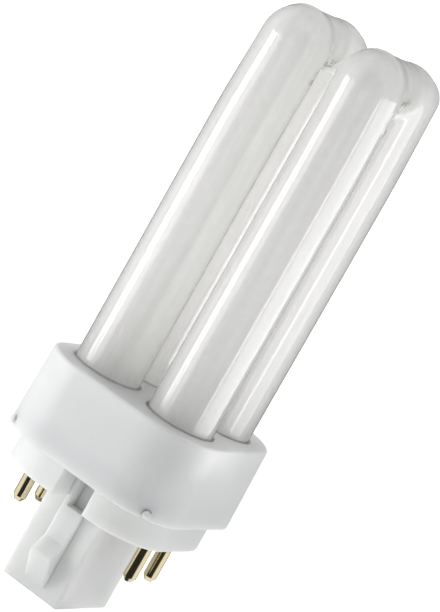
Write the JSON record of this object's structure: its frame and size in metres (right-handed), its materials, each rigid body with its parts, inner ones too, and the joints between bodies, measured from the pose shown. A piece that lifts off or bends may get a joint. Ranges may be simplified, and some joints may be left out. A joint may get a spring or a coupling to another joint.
{
  "type": "compact fluorescent lamp",
  "caption": "Plug-in compact fluorescent lamp: U-shaped phosphor tubes in a rounded square plastic housing, with contact pins and a keyed post below.",
  "frame": {"origin": "centre of the flat end of the key post", "axes": "+Z along the lamp towards the tube tops, X across the two pairs of pins, -Y the face with the key slot towards +X"},
  "size_m": [0.034, 0.0348, 0.103],
  "materials": {
    "tube_glass": "clear glossy glass over a white phosphor coating, so it reads as opaque glossy white",
    "housing_plastic": "satin white moulded plastic",
    "cap_plastic": "satin white moulded plastic",
    "cement": "dry off-white mineral cement",
    "pin_brass": "bright turned brass",
    "lead_metal": "plain drawn nickel-iron wire"
  },
  "bodies": {
    "root": {"discharge_tube": "tube_glass", "housing": "housing_plastic", "base_cap": "cap_plastic", "cement_bed": "cement", "contact_pin_1": "pin_brass", "contact_pin_2": "pin_brass", "contact_pin_3": "pin_brass", "contact_pin_4": "pin_brass", "lead_wire_1": "lead_metal", "lead_wire_2": "lead_metal", "lead_wire_3": "lead_metal", "lead_wire_4": "lead_metal"}
  },
  "joints": []
}
